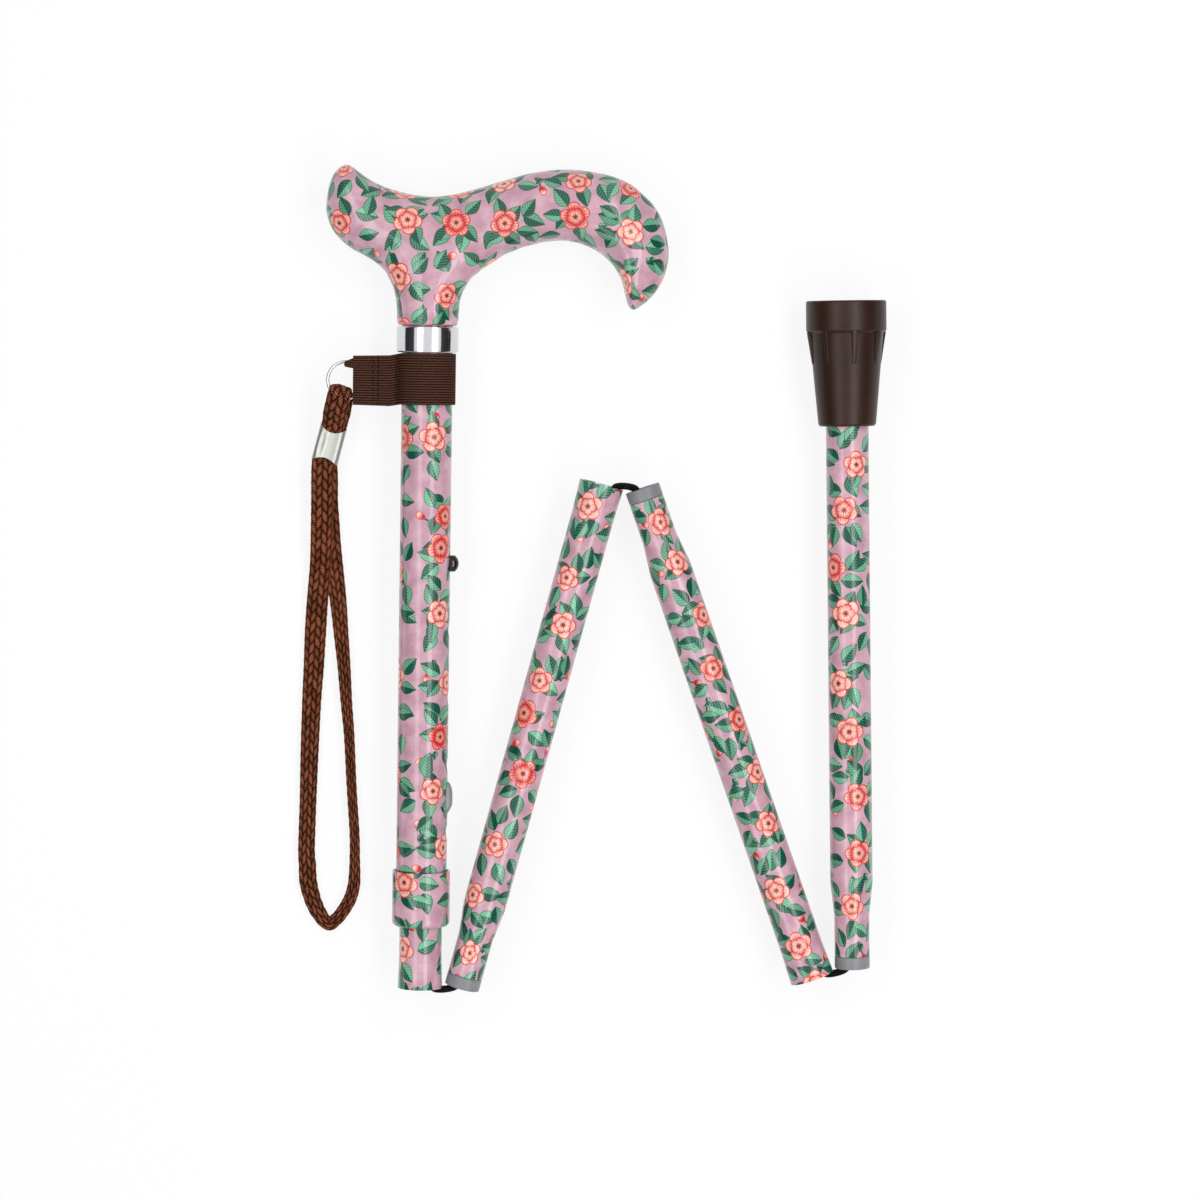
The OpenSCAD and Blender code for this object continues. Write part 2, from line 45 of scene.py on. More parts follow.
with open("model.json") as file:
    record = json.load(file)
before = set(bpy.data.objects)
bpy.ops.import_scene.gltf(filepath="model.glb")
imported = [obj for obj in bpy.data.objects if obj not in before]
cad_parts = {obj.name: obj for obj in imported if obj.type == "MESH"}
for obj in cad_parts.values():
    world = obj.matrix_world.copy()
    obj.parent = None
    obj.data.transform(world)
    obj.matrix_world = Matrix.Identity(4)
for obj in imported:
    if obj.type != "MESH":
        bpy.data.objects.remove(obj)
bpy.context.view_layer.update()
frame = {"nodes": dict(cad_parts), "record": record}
nodes = frame["nodes"]
joints = {j["name"]: j for j in frame["record"]["behaviour"]["joints"]}
mm = 0.001
to_scene = Matrix.Scale(mm, 4)
up = Vector((0, 0, 1))

# Sizes in millimetres and angles in degrees that the CAD model fixes
upper_r = 9.5
tube_r = 8.0
swage_r = 6.6
swage_l = 20.0
shoulder_l = 12.5
shock_r = 1.8
cord_start = shock_r + 0.1
anchor_l = 12.0
knot_r = 2.88
rim_off = 5.3
ring_off = 2.55
pivot_r = 7.8
fold_gap = 1.0
fold_insets = (0.64, 0.48, 0.0)
fold_angles = (14.7, 34.7, 18.4)
fold_turns = (0.0, -14.7, 20.0)
section_l = (0.0, 197.0, 195.5, 251.0)
stem_y = 248.8
band_y = 228.35
hole_y = 58.7
hole_pitch = 25.4
ring_x = -30.25

# Millimetres in one unit of a UV map
map_unit = 100.0


def section(node, along):
    """A matrix from millimetres whose Y axis runs along a tube from a node's first face."""
    points = [v.co for v in nodes[node].data.vertices]
    low = min(p.dot(along) for p in points)
    face = [p for p in points if p.dot(along) < low + 0.01 * mm]
    middle = [(min(p[i] for p in face) + max(p[i] for p in face)) / 2 for i in range(3)]
    turn = Matrix.Rotation(math.atan2(-along.x, along.y), 4, "Z")
    return Matrix.Translation(middle) @ turn @ to_scene


shaft = section("height_tube", Vector((0, 1, 0)))
sections = [shaft]
for ring, plug in (("second_ring", "upper_plug"), ("third_ring", "middle_plug"),
                   ("tip_ring", "lower_plug")):
    # A plug's axis points from its section's rim to its guide ring
    sections.append(section(ring, -Vector(joints[plug]["axis"]).normalized()))


def srgb(*levels):
    """A colour of 0 to 255 levels as linear numbers."""
    parts = [c / 255 for c in levels]
    return tuple(c / 12.92 if c <= 0.04045 else ((c + 0.055) / 1.055) ** 2.4 for c in parts)


def math_node(operation, swapped=False):
    """A method that adds a Math node, with its own value first, or last when swapped."""
    def method(self, *others):
        return self.math(operation, *((*others, self) if swapped else (self, *others)))
    return method


class Value:
    """A number on a socket. Arithmetic on it adds Math nodes."""

    def __init__(self, finish, socket):
        self.finish = finish
        self.socket = socket

    def math(self, operation, *values):
        node = self.finish.add("ShaderNodeMath", {"operation": operation}, dict(enumerate(values)))
        return Value(self.finish, node.outputs[0])

    __add__ = __radd__ = math_node("ADD")
    __sub__, __rsub__ = math_node("SUBTRACT"), math_node("SUBTRACT", swapped=True)
    __mul__ = __rmul__ = math_node("MULTIPLY")
    __truediv__, __rtruediv__ = math_node("DIVIDE"), math_node("DIVIDE", swapped=True)
    __pow__ = math_node("POWER")
    __mod__ = math_node("FLOORED_MODULO")
    __lt__, __gt__ = math_node("LESS_THAN"), math_node("GREATER_THAN")
    __abs__ = math_node("ABSOLUTE")
    sin, cos = math_node("SINE"), math_node("COSINE")
    sqrt, floor = math_node("SQRT"), math_node("FLOOR")
    least, most = math_node("MINIMUM"), math_node("MAXIMUM")
    angle_from = math_node("ARCTAN2")

    def step(self, low, high):
        """0 below low, 1 above high, smooth in between."""
        node = self.finish.add("ShaderNodeMapRange", {"interpolation_type": "SMOOTHSTEP"},
                               {0: self, 1: low, 2: high, 3: 0.0, 4: 1.0})
        return Value(self.finish, node.outputs[0])


class Finish:
    """The nodes of a material, a world or a node group while they are written."""

    def __init__(self, tree):
        self.tree = tree

    def add(self, kind, settings=None, inputs=None):
        """A node of a kind, with its settings first and then the values or links of its sockets."""
        node = self.tree.nodes.new(kind)
        for key, value in (settings or {}).items():
            setattr(node, key, value)
        for key, value in (inputs or {}).items():
            socket = node.inputs[key]
            if isinstance(value, Value):
                value = value.socket
            if isinstance(value, bpy.types.NodeSocket):
                self.tree.links.new(value, socket)
            elif socket.type == "RGBA" and len(value) == 3:
                socket.default_value = (*value, 1.0)
            else:
                socket.default_value = value
        return node

    def mix(self, share, first, second):
        """A colour between two."""
        node = self.add("ShaderNodeMix", {"data_type": "RGBA"}, {0: share, 6: first, 7: second})
        return node.outputs[2]

    def parts(self, vector):
        node = self.add("ShaderNodeSeparateXYZ", None, {0: vector})
        return [Value(self, out) for out in node.outputs]

    def vector(self, x, y):
        return self.add("ShaderNodeCombineXYZ", None, {0: x, 1: y}).outputs[0]

    def noise(self, place, scale, detail=2.0, roughness=0.5):
        node = self.add("ShaderNodeTexNoise", None,
                        {"Vector": place, "Scale": scale, "Detail": detail, "Roughness": roughness})
        return Value(self, node.outputs["Fac"])

    def vectors(self, operation, first, second):
        """The sum, difference or the like of two vectors."""
        node = self.add("ShaderNodeVectorMath", {"operation": operation}, {0: first, 1: second})
        return node.outputs[0]

    def scaled(self, vector, by):
        node = self.add("ShaderNodeVectorMath", {"operation": "SCALE"}, {0: vector, "Scale": by})
        return node.outputs[0]

    def local(self, place):
        """Object coordinates seen from a piece's own place, in millimetres."""
        spot, turn, _ = place.decompose()
        coords = self.add("ShaderNodeTexCoord").outputs["Object"]
        seen = self.add("ShaderNodeMapping", {"vector_type": "TEXTURE"},
                        {"Vector": coords, "Location": spot, "Rotation": turn.to_euler()})
        return self.scaled(seen.outputs[0], 1 / mm)

    def own_map(self, name):
        """The piece's own UV map, in millimetres."""
        return self.scaled(self.add("ShaderNodeUVMap", {"uv_map": name}).outputs[0], map_unit)

    def bump(self, height, distance):
        """A bump whose height is in millimetres when distance is 1."""
        return self.add("ShaderNodeBump", None,
                        {"Strength": 1.0, "Distance": distance * mm, "Height": height}).outputs[0]

    def surface(self, **sockets):
        """The shader at the end, with socket names written with _ for a space."""
        names = {key.replace("_", " "): value for key, value in sockets.items()}
        shader = self.add("ShaderNodeBsdfPrincipled", None, names)
        self.add("ShaderNodeOutputMaterial", None, {"Surface": shader.outputs[0]})


def emptied(owner):
    """The finish of a material or world, whose nodes are taken out."""
    owner.use_nodes = True
    owner.node_tree.nodes.clear()
    return Finish(owner.node_tree)


def material(name):
    """A new empty material and its finish."""
    made = bpy.data.materials.new(name)
    return made, emptied(made)


def size_property(name, description, default):
    """A size in millimetres, which no unit of the properties fits."""
    return bpy.props.FloatProperty(
        name=name, description=description + " in millimetres", default=default)


def colour_property(name, description, *levels):
    """A colour, from its levels of 0 to 255."""
    return bpy.props.FloatVectorProperty(
        name=name, description=description, subtype="COLOR", default=srgb(*levels))


class CaneSizes(bpy.types.PropertyGroup):
    """Sizes of the pieces and the pattern."""

    bloom: size_property("Blossom", "Diameter of a blossom", 11.0)
    bloom_pitch: size_property("Blossom pitch", "Distance between blossoms", 21.0)
    leaf: size_property("Leaf", "Length of a leaf", 9.3)
    leaf_pitch: size_property("Leaf pitch", "Distance between leaves", 8.8)
    cord_face: size_property("Cord face", "Width of the flat braid", 8.2)
    columns: bpy.props.IntProperty(
        name="Columns", description="Columns of plaits round the braid", default=12)
    plait: size_property("Plait", "Length of a plait in the braid", 4.0)
    webbing: size_property("Webbing", "Width of the webbing", 19.1)
    webbing_wall: size_property("Webbing wall", "Thickness of the webbing", 1.15)
    ribs: bpy.props.IntProperty(name="Ribs", description="Ribs across the webbing", default=20)


class CaneColours(bpy.types.PropertyGroup):
    """Colours of the finishes."""

    ground: colour_property("Ground", "Ground of the print", 184, 139, 156)
    ground_pale: colour_property("Pale ground", "Paler ground of the print", 214, 173, 187)
    coral: colour_property("Coral", "Deep colour of the petals", 200, 30, 30)
    petal: colour_property("Petal", "Pale colour of the petals", 249, 196, 182)
    leaf: colour_property("Leaf", "Deep green of the leaves", 0, 74, 58)
    mint: colour_property("Mint", "Pale green of the leaves", 136, 204, 166)
    webbing: colour_property("Webbing", "Elastic webbing", 52, 32, 25)
    braid: colour_property("Braid", "Wrist cord", 160, 92, 62)
    rubber: colour_property("Rubber", "Ferrule", 46, 27, 20)
    grey: colour_property("Grey", "Guide rings and pad", 124, 126, 129)


def flower_print(sizes, colours):
    """Makes the print as a node group: millimetres on the film in, colour out."""
    tree = bpy.data.node_groups.new("flower_print", "ShaderNodeTree")
    tree.interface.new_socket(name="Place", in_out="INPUT", socket_type="NodeSocketVector")
    tree.interface.new_socket(name="Colour", in_out="OUTPUT", socket_type="NodeSocketColor")
    draw = Finish(tree)
    place = draw.add("NodeGroupInput").outputs[0]

    def scattered(at, pitch, spread, shift):
        """The way from the nearest motif, that motif's middle and three numbers of its own."""
        cells = draw.add("ShaderNodeMapping", None, {
            "Vector": at, "Location": (shift, shift * 0.7, 0.0),
            "Scale": (1 / pitch, 1 / pitch, 0.0)}).outputs[0]
        spots = draw.add("ShaderNodeTexVoronoi", {"voronoi_dimensions": "2D"},
                         {"Vector": cells, "Scale": 1.0, "Randomness": spread})
        dx, dy, _ = draw.parts(draw.vectors("SUBTRACT", cells, spots.outputs["Position"]))
        mx, my, _ = draw.parts(spots.outputs["Position"])
        own = draw.add("ShaderNodeSeparateColor", None, {0: spots.outputs["Color"]})
        middle = draw.vector((mx - shift) * pitch, (my - shift * 0.7) * pitch)
        return dx * pitch, dy * pitch, middle, [Value(draw, out) for out in own.outputs]

    def whorl(turn, distance, lobes, radius):
        """How far inside a ring of round petals a point lies, and the petals' share there."""
        share = abs((turn * (lobes / 2)).cos()) ** 0.55
        return radius * (0.66 + 0.34 * share) - distance, share

    def leaf(colour, dx, dy, angle, length, shown, tone):
        """One leaf with a pale and a deep half and a vein, over a colour."""
        run = dx * angle.cos() + dy * angle.sin()
        side = dy * angle.cos() - dx * angle.sin()
        share = run / (length / 2)
        half = (1.0 - share * share) * (1.0 - 0.38 * share) * (length * 0.3)
        mask = (half - abs(side)).step(-0.1, 0.25) * (abs(share) < 1.0) * shown
        veins = ((run - abs(side) * 0.8) * 5.2).sin().step(0.1, 0.9)
        light = side.step(-0.2, 0.2) * 0.56 + tone * 0.42 + veins * 0.32
        light = light - abs(side).step(0.28, 0.1) * 0.3 - 0.3
        green = draw.mix(light.least(1.0).most(0.0), leaf_deep, leaf_pale)
        outline = (half - abs(side)).step(0.75, 0.2) * 0.55
        return draw.mix(mask, colour, draw.mix(outline, green, leaf_deep))

    coral, petal = tuple(colours.coral), tuple(colours.petal)
    leaf_deep, leaf_pale = tuple(colours.leaf), tuple(colours.mint)
    mottle = draw.noise(place, 0.16, 3.0)
    drawn_out = draw.add("ShaderNodeMapping", None, {"Vector": place, "Scale": (0.25, 1.6, 1.0)})
    brush = draw.noise(drawn_out.outputs[0], 1.0)
    colour = draw.mix((mottle * 0.9 + brush * 0.15).step(0.3, 0.8),
                      tuple(colours.ground), tuple(colours.ground_pale))

    # Sprigs with a bud, where there is room between the blossoms
    bx, by, bud_at, own = scattered(place, 14.5, 0.5, 3.4)
    _, _, near_bloom, _ = scattered(bud_at, sizes.bloom_pitch, 0.5, 0.0)
    gap = draw.add("ShaderNodeVectorMath", {"operation": "DISTANCE"}, {0: bud_at, 1: near_bloom})
    free = (Value(draw, gap.outputs["Value"]) > 8.0) * (own[1] > 0.2)
    lean = own[0] * math.tau
    run = bx * lean.cos() + by * lean.sin()
    side = by * lean.cos() - bx * lean.sin() - (run * 0.5).sin() * 0.5
    stem = abs(side).step(0.42, 0.2) * (run > -5.2) * (run < 1.2) * free
    colour = draw.mix(stem, colour, leaf_deep)
    for spot, swing in ((-3.6, 0.9), (-2.3, -0.95)):
        colour = leaf(colour, bx - lean.cos() * spot, by - lean.sin() * spot,
                      lean + swing, 3.9, free, own[2])
    bud = ((run - 2.4) * (run - 2.4) * 0.55 + side * side).sqrt()
    tip = run.step(1.4, 3.6)
    colour = draw.mix(bud.step(1.55, 1.25) * free, colour, draw.mix(tip, coral, petal))
    colour = draw.mix(abs(bud - 1.3).step(0.32, 0.1) * free * 0.7, colour, coral)

    # Leaves that point away from the nearest blossom
    for pitch, spread, shift, reach, length in (
            (sizes.leaf_pitch, 0.35, 1.3, 13.0, sizes.leaf),
            (sizes.leaf_pitch * 1.13, 0.4, 7.9, 15.0, sizes.leaf * 0.9)):
        dx, dy, leaf_at, own = scattered(place, pitch, spread, shift)
        _, _, near_bloom, _ = scattered(leaf_at, sizes.bloom_pitch, 0.5, 0.0)
        ax, ay, _ = draw.parts(draw.vectors("SUBTRACT", leaf_at, near_bloom))
        far = (ax * ax + ay * ay).sqrt()
        shown = (far < reach) * (far > 3.2) * (own[1] > 0.08)
        angle = ay.angle_from(ax) + (own[0] - 0.5) * 1.7
        colour = leaf(colour, dx, dy, angle, length, shown, own[2])

    # Blossoms of two whorls of round petals
    dx, dy, _, own = scattered(place, sizes.bloom_pitch, 0.5, 0.0)
    distance = (dx * dx + dy * dy).sqrt()
    turn = dy.angle_from(dx) + own[0] * math.tau
    radius = sizes.bloom / 2 * (0.92 + 0.16 * own[1])
    streak = (turn * 23.0).sin() * 0.08
    petals = 5
    edge, share = whorl(turn, distance, petals, radius)
    shade = (distance / radius - 0.35 + streak + (own[2] - 0.5) * 0.35).step(0.0, 0.62)
    line = (edge.step(0.8, 0.3) * 0.95).most(share.step(0.5, 0.2) * 0.9)
    outer = draw.mix(line, draw.mix(shade, coral, petal), coral)
    colour = draw.mix(edge.step(-0.1, 0.2), colour, outer)
    edge, share = whorl(turn + math.pi / petals, distance, petals, radius * 0.64)
    shade = (distance / radius + streak - own[2] * 0.2).step(0.05, 0.55)
    line = edge.step(0.65, 0.25).most(share.step(0.45, 0.15) * 0.85)
    inner = draw.mix(line, draw.mix(shade, petal, coral), coral)
    colour = draw.mix(edge.step(-0.1, 0.2), colour, inner)
    eye = (distance / radius).step(0.26, 0.18)
    seeds = (turn * 9.0).sin().step(0.1, 0.6) * (distance / radius).step(0.1, 0.16)
    colour = draw.mix(eye, colour, draw.mix(seeds, srgb(150, 26, 28), srgb(250, 214, 170)))
    draw.add("NodeGroupOutput", None, {0: colour})


def film_print(finish, film, shift):
    """The print's colour on a film, whose vector is in millimetres and is moved by a shift."""
    moved = finish.vectors("ADD", film, shift)
    tree = bpy.data.node_groups["flower_print"]
    return finish.add("ShaderNodeGroup", {"node_tree": tree}, {0: moved}).outputs[0]


def tube_finish(name, place, radius, shift, limit=None, lip=None):
    """The print over bare metal, wrapped round a tube, whose seam lies underneath.

    The film lies outside the limit, which follows the swaged end where none is given.
    """
    made, finish = material(name)
    x, y, z = finish.parts(finish.local(place))
    distance = (x * x + z * z).sqrt()
    if limit is None:
        rise = (y - swage_l) / shoulder_l
        limit = rise.most(0.0).least(1.0) * (tube_r - swage_r) + (swage_r - 0.5)
    outside = distance.step(limit - 0.05, limit + 0.05)
    if lip:
        outside = outside.most((y < lip) * (distance > radius - 2.2))
    film = finish.vector(x.angle_from(z) * radius, y)
    print_colour = film_print(finish, film, shift)
    grain = finish.noise(film, 1.4, 4.0)
    wear = finish.noise(film, 0.12, 3.0)
    finish.surface(Base_Color=finish.mix(outside, srgb(176, 178, 182), print_colour),
                   Metallic=1.0 - outside, Roughness=0.3 + grain * 0.08 + wear * 0.06,
                   Coat_Weight=outside * 0.7, Coat_Roughness=0.08, Coat_IOR=1.5,
                   Specular_IOR_Level=0.1, Normal=finish.bump(finish.noise(film, 0.3), 0.012))
    return made


def metal(name, colour, roughness, scale):
    """Polished or brushed metal with faint marks."""
    made, finish = material(name)
    place = finish.local(Matrix())
    marks = finish.noise(place, scale, 4.0)
    smear = finish.noise(place, 0.09)
    finish.surface(Base_Color=finish.mix(smear * 0.35, colour, tinted(colour, 0.8)), Metallic=1.0,
                   Roughness=roughness + marks * 0.06 + smear * 0.05,
                   Normal=finish.bump(marks, 0.004))
    return made


def moulded(name, colour, pale, roughness, grain=1.2, depth=0.02, shine=0.4, haze=0.0):
    """Moulded plastic or rubber with a fine grain."""
    made, finish = material(name)
    place = finish.local(Matrix())
    cloud = finish.noise(place, 0.07, 3.0)
    pores = finish.noise(place, grain, 5.0, 0.6)
    finish.surface(Base_Color=finish.mix((cloud * 0.6 + pores * 0.5).step(0.35, 0.8), colour, pale),
                   Roughness=roughness + (pores - 0.5) * 0.2, Normal=finish.bump(pores, depth),
                   Specular_IOR_Level=shine, Subsurface_Weight=haze,
                   Subsurface_Radius=(0.002, 0.002, 0.0024))
    return made


def woven_cord(name, deep, pale, columns, plait, girth):
    """A braid on a cord's own map: columns of slanted plaits with threads of their own lie, and
    painted shade between the plaits.
    """
    made, finish = material(name)
    along, around, _ = finish.parts(finish.own_map("lay"))
    column = around * columns
    index = column.floor()
    across = column - index - 0.5
    lean = (index % 2.0) * 2.0 - 1.0
    row = along / plait + lean * across * 0.5 + index * (5.0 / columns)
    phase = row - row.floor()
    chance = finish.add("ShaderNodeTexWhiteNoise", {"noise_dimensions": "2D"},
                        {"Vector": finish.vector(row.floor(), index)})
    own = Value(finish, chance.outputs["Value"])
    tilt = lean * 0.5 + (own - 0.5) * 0.7
    lie = across * girth * tilt.cos() - (phase - 0.5) * plait * tilt.sin()
    stray = finish.noise(finish.vector(along, around * columns * girth), 0.9, 3.0)
    threads = (lie * (28.0 / girth) + stray * 5.0).sin() * 0.5 + 0.5
    swell = (phase * math.pi).sin() ** 0.6 * (1.0 - across * across * 3.0)
    # Painted shade: the colour darkens towards each plait's edges and into the gaps between plaits
    # as the swell falls, over the threads' lines and each plait's own tone.
    shade = swell * (0.3 + threads * 0.75) * (0.7 + own * 0.6)
    finish.surface(Base_Color=finish.mix(shade.step(0.04, 0.95), deep, pale),
                   Roughness=0.62 - threads * 0.12, Specular_IOR_Level=0.06,
                   Normal=finish.bump(swell * 0.7 + threads * 0.3, 0.5))
    return made


def finished(name, shape, place, look, body, *replaced, slot=None, corner=40.0):
    """An object from a shape, at its place and with its finish, that moves with a body."""
    mesh_data = written(name, shape, place)
    for face in mesh_data.polygons:
        face.use_smooth = True
    mesh_data.set_sharp_from_angle(angle=math.radians(corner))
    mesh_data.materials.append(look)
    piece = bpy.data.objects.new(name, mesh_data)
    bpy.context.scene.collection.objects.link(piece)
    if body:
        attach(piece, body)
    if replaced:
        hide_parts(*replaced)
    return piece


def written(name, shape, place=None):
    """A bmesh as a mesh, put from millimetres at its place where one is given."""
    if place:
        bmesh.ops.transform(shape, matrix=place, verts=shape.verts)
        bmesh.ops.recalc_face_normals(shape, faces=shape.faces)
    mesh_data = bpy.data.meshes.new(name)
    shape.to_mesh(mesh_data)
    shape.free()
    return mesh_data


def dress(node, look):
    """Gives a CAD node its finish."""
    slots = nodes[node].data.materials
    slots.clear()
    slots.append(look)


def tinted(colour, share):
    """A colour made lighter or darker."""
    return tuple(c * share for c in colour)


def lay_map(shape, name, place):
    """A UV map, from the two numbers that place gives for the spot of a vertex."""
    layer = shape.loops.layers.uv.new(name)
    for face in shape.faces:
        for loop in face.loops:
            loop[layer].uv = [c / map_unit for c in place(loop.vert.co)]


def clamped(number):
    """A number held between 0 and 1."""
    return max(0.0, min(1.0, number))


def round_edges(shape, size, sharper=30.0, segments=3):
    """Bevels the edges whose faces meet at an angle."""
    edges = [e for e in shape.edges
             if e.is_manifold and e.calc_face_angle(0.0) > math.radians(sharper)]
    bmesh.ops.bevel(shape, geom=edges, offset=size, segments=segments, profile=0.5, affect="EDGES",
                    clamp_overlap=True, material=-1)


def spun(outline):
    """An outline of radius and height, turned once about the Y axis."""
    shape, steps = bmesh.new(), 96
    verts = [shape.verts.new((r, y, 0.0)) for r, y in outline]
    edges = [shape.edges.new((a, b)) for a, b in zip(verts, verts[1:] + verts[:1])]
    bmesh.ops.spin(shape, geom=verts + edges, cent=(0, 0, 0), axis=(0, 1, 0), dvec=(0, 0, 0),
                   angle=math.tau, steps=steps, use_merge=True, use_duplicate=False)
    bmesh.ops.remove_doubles(shape, verts=shape.verts, dist=0.0005)
    bmesh.ops.recalc_face_normals(shape, faces=shape.faces)
    return shape


def copied(node):
    """A copy of a CAD node's mesh in millimetres, with its loose triangles joined."""
    shape = bmesh.new()
    shape.from_mesh(nodes[node].data)
    bmesh.ops.remove_doubles(shape, verts=shape.verts, dist=1e-6)
    bmesh.ops.scale(shape, vec=[1 / mm] * 3, verts=shape.verts)
    return shape


def curve(points, t):
    """A point on a smooth curve through points, for t from 0 to 1."""
    last = len(points) - 1
    at = min(t * last, last - 1e-9)
    i = int(at)
    t = at - i
    a, b, c, d = (points[max(0, min(last, k))] for k in (i - 1, i, i + 1, i + 2))
    return (b + (c - a) * t / 2 + (2 * a - 5 * b + 4 * c - d) * t * t / 2
            + (3 * b - a - 3 * c + d) * t ** 3 / 2)


def evenly(points, count):
    """Points at even distances on the smooth curve, each with its share of the control points."""
    steps = 4000
    fine = [k / steps for k in range(steps + 1)]
    spots = [curve(points, t) for t in fine]
    runs = [0.0]
    for a, b in zip(spots, spots[1:]):
        runs.append(runs[-1] + (b - a).length)
    out, k = [], 0
    for n in range(count):
        want = runs[-1] * n / (count - 1)
        while k < len(runs) - 2 and runs[k + 1] < want:
            k += 1
        out.append((spots[k], fine[k]))
    return out, runs[-1]


def cord_shape(points, side, halves, pitch, sides, swell=None, level=False):
    """A tube along points, from a rolled up grid: halves gives its half width and half height.

    A level one keeps its width level wherever it doesn't climb.
    """
    total = evenly(points, 2)[1]
    count = max(8, int(total / pitch))
    stops, total = evenly(points, count + 1)
    frames, across, squareness = [], side.normalized(), 2.6
    for k, (spot, share) in enumerate(stops):
        ahead = (stops[min(k + 1, count)][0] - stops[max(k - 1, 0)][0]).normalized()
        if level:
            flat = ahead.cross(up)
            share_level = clamped((0.75 - abs(ahead.z)) * 4)
            sign = 1 if flat.dot(across) > 0 else -1
            across = across.lerp(flat.normalized() * sign, share_level)
        across = (across - ahead * across.dot(ahead)).normalized()
        frames.append((spot, across.copy(), ahead.cross(across), share))
    shape = bmesh.new()
    bmesh.ops.create_grid(shape, x_segments=count, y_segments=sides, size=1.0)
    lay_map(shape, "lay", lambda co: ((co.x + 1) / 2 * total, (co.y + 1) / 2))
    for vert in shape.verts:
        k = round((vert.co.x + 1) / 2 * count)
        around = (vert.co.y + 1) / 2
        spot, across, over, share = frames[k]
        wide, high = halves(share)
        grow = swell(total * k / count, around) if swell else 0.0
        c, s = math.cos(math.tau * around), math.sin(math.tau * around)
        round_off = (abs(c) ** squareness + abs(s) ** squareness) ** (-1 / squareness)
        vert.co = (spot + across * (c * round_off * (wide + grow))
                   + over * (s * round_off * (high + grow)))
    bmesh.ops.remove_doubles(shape, verts=shape.verts, dist=0.001)
    bmesh.ops.holes_fill(shape, edges=[e for e in shape.edges if e.is_boundary], sides=0)
    return shape, [f[0] for f in frames], total


class CANE_OT_stage(bpy.types.Operator):
    """Camera, floor and studio light"""

    bl_idname = "cane.stage"
    bl_label = "Stage"

    def execute(self, context):
        scene = context.scene
        target, reach, view_width = Vector((-0.00049, -0.00485, 0.015)), 1.49, 0.45
        tilt, roll = math.radians(3.7), math.radians(0.84)
        lens = bpy.data.cameras.new("camera")
        lens.sensor_fit, lens.sensor_width, lens.lens = "HORIZONTAL", 36, 36 * reach / view_width
        camera = bpy.data.objects.new("camera", lens)
        scene.collection.objects.link(camera)
        spot = target + Vector((0, math.sin(tilt), math.cos(tilt))) * reach
        camera.matrix_world = (Matrix.Translation(spot) @ Matrix.Rotation(-tilt, 4, "X")
                               @ Matrix.Rotation(roll, 4, "Z"))
        scene.camera = camera
        scene.view_settings.view_transform = "Standard"

        world = bpy.data.worlds.new("studio")
        sky = emptied(world)
        seen = self.seen(sky)
        ambient = 0.32
        glow = sky.add("ShaderNodeBackground", None, {
            "Color": (1, 1, 1), "Strength": ambient + seen * (1 - ambient)})
        sky.add("ShaderNodeOutputWorld", None, {"Surface": glow.outputs[0]})
        scene.world = world

        shape = bmesh.new()
        bmesh.ops.create_grid(shape, x_segments=2, y_segments=2, size=3.0)
        paper, finish = material("paper_floor")
        bare = finish.add("ShaderNodeBsdfDiffuse", None, {"Color": (0.9, 0.9, 0.9)})
        white = finish.add("ShaderNodeEmission", None, {"Color": (1, 1, 1), "Strength": 1.0})
        both = finish.add("ShaderNodeMixShader", None, {
            0: self.seen(finish) * 0.86, 1: bare.outputs[0], 2: white.outputs[0]})
        finish.add("ShaderNodeOutputMaterial", None, {"Surface": both.outputs[0]})
        floor = finished("floor", shape, None, paper, None)
        dark, finish = material("dark_card")
        finish.surface(Base_Color=(0.02, 0.02, 0.022), Roughness=0.9)
        for name, x in (("card_left", -0.75), ("card_right", 0.75)):
            shape = bmesh.new()
            bmesh.ops.create_grid(shape, x_segments=2, y_segments=2, size=1.0, matrix=(
                Matrix.Translation((x, 0, 0.33)) @ Matrix.Rotation(math.pi / 2, 4, "Y")
                @ Matrix.Diagonal((0.3, 1.3, 1, 1))))
            card = finished(name, shape, None, dark, None)
            card.visible_camera = card.visible_shadow = card.visible_diffuse = False

        for name, spot, size, power in (("key", (0.5, 0.0, 0.98), (0.36, 1.8), 9.8),
                                        ("fill", (-0.5, 0.1, 0.97), (0.34, 1.8), 6.0)):
            lamp = bpy.data.lights.new(name, "AREA")
            lamp.shape, lamp.size, lamp.size_y, lamp.energy = "RECTANGLE", size[0], size[1], power
            box = bpy.data.objects.new(name, lamp)
            box.location = spot
            box.rotation_euler = (0, math.atan2(spot[0], spot[2]), 0)
            scene.collection.objects.link(box)
        return {"FINISHED"}

    def seen(self, finish):
        """1 for rays that see the background straight, in a mirror or through glass."""
        rays = finish.add("ShaderNodeLightPath").outputs
        camera, glossy, through = (
            Value(finish, rays[f"Is {kind} Ray"]) for kind in ("Camera", "Glossy", "Transmission"))
        return camera.most(glossy).most(through)


